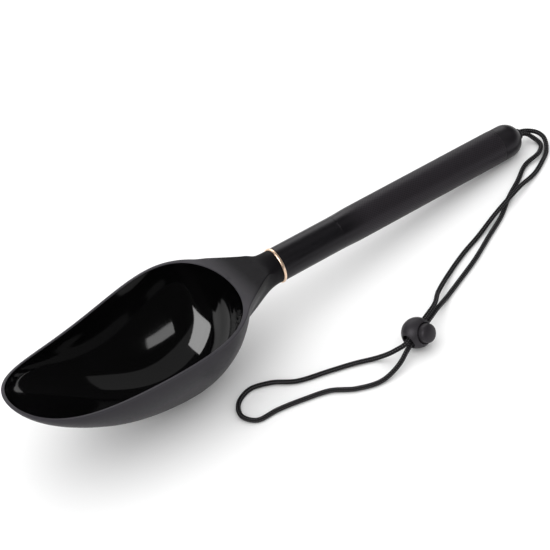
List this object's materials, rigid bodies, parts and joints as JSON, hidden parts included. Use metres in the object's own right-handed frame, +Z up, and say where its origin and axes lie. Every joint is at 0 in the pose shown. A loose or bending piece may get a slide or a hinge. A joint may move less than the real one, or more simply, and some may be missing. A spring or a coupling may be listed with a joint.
{
  "type": "bait and sand scoop",
  "caption": "Deep moulded scoop bowl on a round grip handle with a metal trim ring and an elastic wrist cord held by a sprung ball cord lock.",
  "frame": {"origin": "centre of the footprint box of the scoop and handle, on the surface it lies on; the cord is left out of the box", "axes": "+X from the bowl's front lip to the butt, +Z up as it lies on its bowl and butt, -Y is the side the wrist cord lies on"},
  "size_m": [0.4145, 0.154, 0.0751],
  "materials": {
    "scoop_plastic": "satin outside and shoulder, glossy black inside the bowl",
    "spigot_alloy": "turned",
    "copper_trim": "satin copper",
    "tube_lacquer": "semi-gloss black lacquer",
    "grip_shrink": "fine diagonal ribbed shrink tube",
    "cap_plastic": "semi-gloss",
    "ferrule_plastic": "matte",
    "elastic_cord": "braided",
    "lock_plastic": "matte moulded",
    "spring_steel": "drawn wire"
  },
  "bodies": {
    "root": {"scoop": "scoop_plastic", "neck_spigot": "spigot_alloy", "trim_ring": "copper_trim", "handle_tube": "tube_lacquer", "grip_sleeve": "grip_shrink", "end_cap": "cap_plastic", "cord_ferrule": "ferrule_plastic", "cord_knot": "elastic_cord", "strap_cord": "elastic_cord"},
    "cord_lock": {"lock_body": "lock_plastic", "lock_spring": "spring_steel"},
    "plunger": {"lock_button": "lock_plastic"}
  },
  "joints": [
    {"name": "lock_slide", "type": "slide", "parent": "root", "child": "cord_lock", "axis": [0.9397, 0.342, 0], "range_m": [0, 0.01]},
    {"name": "plunger_press", "type": "slide", "parent": "cord_lock", "child": "plunger", "axis": [-0.3234, 0.8885, -0.3256], "range_m": [0, 0.0028], "stiffness_N_per_m": 400, "springref_m": -0.003, "deforming": ["lock_spring"]}
  ]
}
